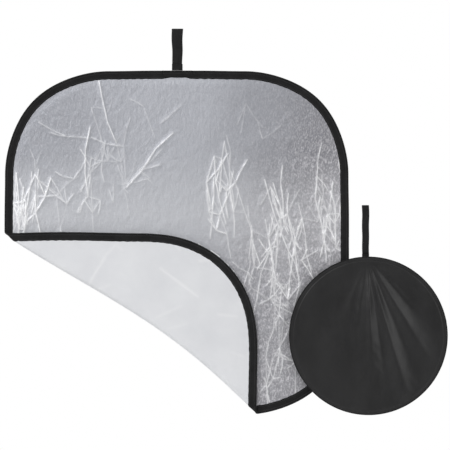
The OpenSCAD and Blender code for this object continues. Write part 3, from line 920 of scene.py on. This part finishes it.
def silver_shape(x, z, zone):
    segments = crease_segments()
    line = ridge_field(x, z, segments, 1.9 * MM)
    broad = ridge_field(x, z, segments, 9 * MM)
    across = (x - LEFT) / SIZE
    down = (TOP - z) / SIZE
    rough = smooth((across + 0.55 * down - 0.75) / 0.45)
    rumple = waves(31, 26, 0.03, 0.10, 2)
    swell = waves(32, 12, 0.15, 0.5, 2)
    crumple = np.abs(rumple(x, z * 0.8)) * (0.25 + 1.1 * rough)
    fade = edge_fade(x, z, zone)
    lift = fade * MM * (0.9 * broad + 1.0 * line + 0.75 * crumple + 0.5 * (1 + swell(x, z) / 2))
    mask = (zone == 0)
    return np.where(mask, lift, 0.4 * lift), {
        # painted highlight along the crease lines
        "crease": np.clip(line * 1.25, 0, 1) * mask,
        # how crumpled the cloth is; it also sets the painted sparkle
        "crumple_and_sparkle": (0.25 + 0.75 * rough) * mask,
        # painted sheen of the finely creased areas
        "painted_sheen": painted_sheen_field(across, down) * mask,
    }


def white_shape(x, z, zone):
    rng = np.random.default_rng(77)
    segments = []
    for _ in range(60):
        x0 = LEFT + rng.uniform(0.02, 0.98) * SIZE
        z0 = TOP - rng.uniform(0.1, 0.98) * SIZE
        tilt = rng.normal() * 0.5 + math.pi / 2
        reach = rng.uniform(0.06, 0.2)
        segments.append((x0, z0, x0 + reach * math.sin(tilt), z0 + reach * math.cos(tilt),
                         rng.uniform(0.3, 0.8)))
    line = ridge_field(x, z, segments, 5 * MM)
    swell = waves(33, 14, 0.12, 0.45, 2)
    rumple = waves(34, 20, 0.05, 0.12, 2)
    fade = edge_fade(x, z, zone)
    lift = fade * MM * (0.9 * line + 0.6 * (1 + swell(x, z) / 2) + 0.25 * np.abs(rumple(x, z)))
    # The crease value paints highlights along the creases.
    return np.where(zone == 1, 0.3 * lift, lift), {"crease": np.clip(line * fade, 0, 1)}


# ---- webbing loops ----

def strap_ring(node, width_top, width_foot, foot, material, name, seed):
    """A loop of webbing in the YZ plane: round top, straight legs that meet at the foot."""
    lo, hi = corners(node)
    x_mid = (lo[0] + hi[0]) / 2
    y_mid = (lo[1] + hi[1]) / 2
    thick = 1.6 * MM
    top = hi[2]
    mid_r = (hi[1] - lo[1]) / 2 - thick / 2
    top_c = top - thick / 2 - mid_r
    leg = np.linspace(0, 1, 34)
    close = thick / 2
    left = [(-mid_r + (mid_r - close) * smooth(t) * 0.6 + (mid_r - close) * t * 0.4,
             top_c + (foot - top_c) * t) for t in leg[::-1]]
    arc = [(-mid_r * math.cos(a), top_c + mid_r * math.sin(a))
           for a in np.linspace(0, math.pi, 15)[1:-1]]
    right = [(-p, q) for p, q in left[::-1]]
    path = np.array(left + arc + right)
    tangent = np.gradient(path, axis=0)
    tangent /= np.linalg.norm(tangent, axis=1)[:, None]
    normal = np.stack([-tangent[:, 1], tangent[:, 0]], 1)
    cross = [(t, 1.0 if abs(t) < 0.95 else 0.45) for t in np.linspace(-1, 1, 11)]
    section = cross + [(t, -h) for t, h in reversed(cross)]
    wobble = waves(seed, 5, 0.05, 0.14)
    rows, uv = [], []
    run = 0.0
    for i, (p, n) in enumerate(zip(path, normal)):
        if i:
            run += float(np.linalg.norm(path[i] - path[i - 1]))
        share = np.clip((p[1] - foot) / (top - foot), 0, 1)
        half = (width_foot + (width_top - width_foot) * share) / 2
        shift = 0.7 * MM * wobble(p[1])
        row = []
        for t, h in section:
            off = thick / 2 * h
            row.append((x_mid + shift + t * half, y_mid + p[0] + n[0] * off, p[1] + n[1] * off))
            uv.append((run, t * half))
        rows.append(row)
    rows = np.array(rows)
    n, m = rows.shape[:2]
    obj = mesh_piece(name, rows.reshape(-1, 3), capped(n, m, True), material, np.array(uv))
    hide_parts(node)
    return obj


def strap_tail(node, name, material, rows_of_stitch, body):
    """Two layers of webbing sewn flat together, pressed in by bars of stitching."""
    lo, hi = corners(node)
    x = np.linspace(lo[0], hi[0], 25)
    z = np.linspace(lo[2], hi[2] + 0.5 * MM, 25)
    y_mid = (lo[1] + hi[1]) / 2
    half = (hi[1] - lo[1]) / 2
    verts, uv = [], []
    for face in (-1, 1):
        for zi in z:
            for xi in x:
                edge = min(xi - lo[0], hi[0] - xi)
                soft = half * (1 - 0.45 * math.exp(-edge / (0.6 * MM)))
                share = (zi - lo[2]) / (hi[2] - lo[2])
                dent = sum(math.exp(-((share - s) / 0.05) ** 2) for s in rows_of_stitch)
                verts.append((xi, y_mid + face * (soft - 0.35 * MM * min(dent, 1)), zi))
                uv.append((zi, xi - (lo[0] + hi[0]) / 2))
    n = len(x)
    count = n * len(z)
    faces = [tuple(f) for f in grid_faces(len(z), n)]
    faces += [tuple(count + v for v in reversed(f)) for f in grid_faces(len(z), n)]
    ring = ([i for i in range(n)] + [(i + 1) * n - 1 for i in range(1, len(z))]
            + [(len(z) - 1) * n + i for i in range(n - 2, -1, -1)]
            + [i * n for i in range(len(z) - 2, 0, -1)])
    for a, b in zip(ring, ring[1:] + ring[:1]):
        faces.append((a, b, count + b, count + a))
    obj = mesh_piece(name, verts, faces, material, np.array(uv))
    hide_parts(node)
    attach(obj, body)
    return obj


# ---- case ----

LOOP_LO, LOOP_HI = corners("case_hang_loop")
LOOP_X = (LOOP_LO[0] + LOOP_HI[0]) / 2


def fold_field(x, z):
    """Soft folds of the empty case, spreading down and to the right from the loop's seam."""
    px = x - (LOOP_X + 6 * MM)
    pz = (CASE_Z + DISC_R) - z
    dist = np.hypot(px, pz) / (2 * DISC_R)
    angle = np.arctan2(px, np.maximum(pz, 1e-6))
    # Each fold's direction, width, height and reach, in radians and shares of the case
    folds = [(0.04, 0.04, 0.9, 0.7), (0.16, 0.05, -1.0, 0.9), (0.27, 0.045, 1.2, 1.0),
             (0.4, 0.06, -1.0, 0.9), (0.54, 0.06, 1.1, 0.8), (0.72, 0.08, -0.8, 0.7),
             (-0.14, 0.07, -0.5, 0.8), (-0.35, 0.1, 0.4, 0.8)]
    total = np.zeros_like(x)
    for at, width, height, reach in folds:
        total += height * np.exp(-((angle - at) / width) ** 2) * smooth(dist / 0.3) \
            * (1 - smooth((dist - reach * 0.6) / (reach * 0.6)))
    return total


def disc_piece(name, y_face, face, material, stands_for, bulge, folds):
    """A round cloth. face is -1 for the front and 1 for the back."""
    radii = np.concatenate([np.linspace(0.3 * MM, DISC_R - 22 * MM, 62),
                            np.linspace(DISC_R - 20 * MM, DISC_R, 14)])
    angles = full_turn(360)
    rr, aa = np.meshgrid(radii, angles, indexing="ij")
    x = CASE_X + rr * np.sin(aa)
    z = CASE_Z + rr * np.cos(aa)
    share = rr / DISC_R
    crown = bulge * (1 - share ** 4)
    swell = waves(41 if face < 0 else 42, 14, 0.10, 0.35, 2)
    small = waves(43, 20, 0.03, 0.09, 2)
    seam = np.exp(-((rr - (DISC_R - 13 * MM)) / (1.6 * MM)) ** 2)
    fade = 1 - smooth((share - 0.86) / 0.12)
    off = crown + fade * MM * (1.0 * swell(x, z) + 0.25 * small(x, z) + 5 * folds * fold_field(x, z))
    off = off - 0.8 * MM * seam
    edge = np.exp(-(DISC_R - rr) / (1.0 * MM)) * 0.6 * MM
    y = y_face + face * (off - edge)
    verts = np.stack([x, y, z], -1).reshape(-1, 3)
    faces = [tuple(f) for f in grid_faces(len(radii), len(angles), False, True)]
    faces.append(tuple(range(len(angles))))
    if face > 0:
        faces = [tuple(reversed(f)) for f in faces]
    uv = np.stack([x, z], -1).reshape(-1, 2)
    obj = mesh_piece(name, verts, faces, material, uv)
    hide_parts(*stands_for)
    return obj


def ring_sweep(name, section, angles, material, closed, sag=None):
    """Sweeps a closed section of (radius, y) points round the case, angles from its top."""
    rows, uv = [], []
    for a in angles:
        shift = sag(a) if sag else 0.0
        for radius, y in section:
            r = radius + shift
            rows.append((CASE_X + r * math.sin(a), y, CASE_Z + r * math.cos(a)))
            uv.append((a * WALL_R, y))
    n, m = len(angles), len(section)
    faces = grid_faces(n, m, True, True) if closed else capped(n, m)
    obj = mesh_piece(name, rows, faces, material, np.array(uv))
    return obj


def round_section(radius, y, r, count=12):
    return [(radius + r * math.cos(t), y + r * math.sin(t))
            for t in full_turn(count)]


def band_section(y0, y1, thick, count, belly):
    """Cloth band between two depths, sunk a little in the middle."""
    ys = np.linspace(y0, y1, count)
    dip = [belly * math.sin(math.pi * i / (count - 1)) for i in range(count)]
    outer = [(WALL_R - d, y) for d, y in zip(dip, ys)]
    inner = [(WALL_R - thick - d, y) for d, y in zip(dip[::-1], ys[::-1])]
    return outer + inner


def blend_mouth(obj):
    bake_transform(obj)


def coil_verts(side, pitch):
    """One half of a nylon zip coil: a flattened helix that runs round the case."""
    turns = int(2 * ZIP_HALF * WALL_R / pitch)
    per_turn = 8
    t = np.linspace(0, turns, turns * per_turn)
    a = -ZIP_HALF + 2 * ZIP_HALF * t / turns
    spin = 2 * math.pi * t
    wide, high = 0.85 * MM, 0.7 * MM
    y = CASE_MID_Y + side * (wide + 0.2 * MM) + wide * np.cos(spin)
    r = WALL_R + 0.95 * MM + high * np.sin(spin)
    return np.stack([CASE_X + r * np.sin(a), y, CASE_Z + r * np.cos(a)], 1)


def tube(name, points, radius, material, sides=5):
    tangent = np.gradient(points, axis=0)
    tangent /= np.linalg.norm(tangent, axis=1)[:, None]
    ref = np.array([0.0, 1.0, 0.0])
    u = np.cross(tangent, ref)
    u /= np.linalg.norm(u, axis=1)[:, None]
    v = np.cross(tangent, u)
    ring = full_turn(sides)
    rows = points[:, None] + radius * (u[:, None] * np.cos(ring)[None, :, None]
                                       + v[:, None] * np.sin(ring)[None, :, None])
    obj = mesh_piece(name, rows.reshape(-1, 3), capped(len(points), sides), material,
                     np.zeros((len(points) * sides, 2)))
    return obj


def place(obj, stands_for, at_mouth):
    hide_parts(*stands_for)
    if at_mouth:
        blend_mouth(obj)
    else:
        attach(obj, "case")


def make_case(cloth, piping, tape, coil, webbing):
    ring = full_turn(360)
    front = disc_piece("case_front", CASE_FRONT_Y, -1, cloth, ("case_front_lower", "case_front_upper"),
                       0.6 * MM, 1.0)
    blend_mouth(front)
    back = disc_piece("case_back_cloth", CASE_BACK_Y, 1, cloth, ("case_back",), 0.3 * MM, 0.25)
    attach(back, "case")
    for name, y, nodes in (("case_front_piping", CASE_FRONT_Y + 0.6 * MM,
                            ("case_piping_front", "case_piping_mouth")),
                           ("case_back_piping", CASE_BACK_Y - 0.6 * MM, ("case_piping_back",))):
        wob = waves(51, 7, 0.3, 1.2)
        obj = ring_sweep(name, round_section(DISC_R, y, PIPE_R), ring, piping, True,
                         lambda a: 0.25 * MM * wob(a * WALL_R) * math.sin(a / 2))
        place(obj, nodes, "mouth" in nodes[-1])
    seam = 1.2 * MM
    split = 6 * MM
    slack = waves(52, 9, 0.12, 0.5)

    def sag(a):
        return -0.8 * MM * (1 + slack(a * WALL_R)) * math.sin(a / 2) ** 2

    def band(name, y0, y1, count, belly, angles, closed):
        section = band_section(y0, y1, 1.1 * MM, count, belly)
        return ring_sweep(name, section, angles, cloth, closed, sag)

    back_edge, front_edge = CASE_BACK_Y - seam, CASE_FRONT_Y + seam
    split_back, split_front = CASE_MID_Y + split, CASE_MID_Y - split
    back_half = band("case_band_back", back_edge, split_back, 7, 0.9 * MM, ring, True)
    place(back_half, ("case_side_band",), False)
    low_arc = np.linspace(ZIP_HALF - 0.02, 2 * math.pi - ZIP_HALF + 0.02, 220)
    centre = band("case_band_low", split_back, split_front, 5, 0.0, low_arc, False)
    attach(centre, "case")
    front_half = band("case_band_front", split_front, front_edge, 7, 0.9 * MM, ring, True)
    place(front_half, ("case_mouth_band",), True)
    zip_arc = np.linspace(-ZIP_HALF, ZIP_HALF, 200)
    for side, name in ((1, "zip_tape_behind"), (-1, "zip_tape_ahead")):
        y0, y1 = CASE_MID_Y + side * 1.8 * MM, CASE_MID_Y + side * 9.0 * MM
        low, high = WALL_R + 0.1 * MM, WALL_R + 0.75 * MM
        section = [(low, y0), (high, y0), (high, y1), (low, y1)]
        if side < 0:
            section = section[::-1]
        obj = ring_sweep(name, section, zip_arc, tape, False)
        nodes = ("zip_tape_back",) if side > 0 else ("zip_tape_front", "zip_tape_ends")
        place(obj, nodes, side < 0)
    for side, name in ((1, "zip_coil_behind"), (-1, "zip_coil_ahead")):
        obj = tube(name, coil_verts(side, 1.9 * MM), 0.32 * MM, coil)
        nodes = ("zip_coil_back",) if side > 0 else ("zip_coil_front", "zip_coil_ends")
        place(obj, nodes, side < 0)
    foot = corners("case_loop_tack")[1][2] + 0.4 * MM
    loop = strap_ring("case_hang_loop", 27 * MM, 26 * MM, foot, webbing, "case_loop", 61)
    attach(loop, "case_loop")
    strap_tail("case_loop_tack", "case_loop_tail", webbing, (0.3, 0.6), "case")


def make_panel_loop(webbing):
    foot = corners("panel_loop_tack")[1][2] + 0.4 * MM
    loop = strap_ring("panel_hang_loop", 43.5 * MM, 38 * MM, foot, webbing, "panel_loop_strap", 62)
    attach(loop, "panel_loop")
    strap_tail("panel_loop_tack", "panel_loop_tail", webbing, (0.25, 0.5, 0.75), "panel")


def make_lap(material):
    """The short wrap over the binding's ends, following the binding's own section."""
    lo, hi = corners("binding_lap")
    profile = binding_profile()
    front = profile[: len(profile) // 2]
    outer = [(a - 0.4 * MM if a < 2 * MM else a, h + 0.6 * MM) for a, h in front if a < 25.6 * MM]
    outer.append((25.9 * MM, 1.2 * MM))
    section = outer + [(a, -h) for a, h in reversed(outer)]
    xs = np.linspace(lo[0], hi[0], 40)
    verts, uv = [], []
    for x in xs:
        for a, h in section:
            verts.append((x, -h, TOP - a))
            uv.append((x, a))
    faces = capped(len(xs), len(section))
    obj = mesh_piece("binding_lap_tape", verts, faces, material, np.array(uv))
    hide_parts("binding_lap")
    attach(obj, "panel")


def finish_cad_nodes(steel, zip_metal):
    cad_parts["hoop_ferrule"].data.materials[0] = steel
    for node in ("zip_slider", "zip_pull", "zip_stops"):
        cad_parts[node].data.materials[0] = zip_metal


bpy.context.scene.view_settings.view_transform = "Standard"
make_camera()
make_world()
area_light("key", (-2.2, -4.0, 1.2), (0, 0, -0.8), (3.0, 2.2), 104)
area_light("fill", (3.4, -3.4, -0.2), (0.3, 0, -0.9), (2.2, 2.6), 30)
area_light("rear", (0.4, 3.6, 1.4), (0.2, 0, -0.9), (3.2, 2.2), 90)
make_floor()

SILVER = silver_material()
WHITE = white_material()
TAPE = dark_cloth_material("binding_tape", (0.005, 0.005, 0.0052), (0.015, 0.015, 0.0154),
                           400, "X", 0.72, (9.3 * MM, 27 * MM))
WEBBING = dark_cloth_material("webbing", (0.007, 0.007, 0.0072), (0.018, 0.018, 0.0184),
                              300, "X", 0.7)
PIPING = dark_cloth_material("case_piping", (0.004, 0.004, 0.0042), (0.011, 0.011, 0.0115),
                             500, "X", 0.6)
ZIP_TAPE = dark_cloth_material("zip_tape", (0.012, 0.012, 0.0125), (0.026, 0.026, 0.027),
                               900, "Y", 0.75)
CASE = case_material()
COIL = dark_cloth_material("zip_coil", (0.012, 0.012, 0.012), (0.02, 0.02, 0.02), 900, "X", 0.35)
STEEL = metal_material("spring_steel", (0.42, 0.43, 0.46), 0.3)
ZIP_METAL = metal_material("zip_metal", (0.3, 0.3, 0.31), 0.28)

make_cloth("silver_cloth", 1, SILVER, silver_shape, 3 * MM)
make_cloth("white_cloth", -1, WHITE, white_shape, 6 * MM)
make_rim(TAPE, STEEL)
make_lap(TAPE)
make_panel_loop(WEBBING)
make_case(CASE, PIPING, ZIP_TAPE, COIL, WEBBING)
finish_cad_nodes(STEEL, ZIP_METAL)
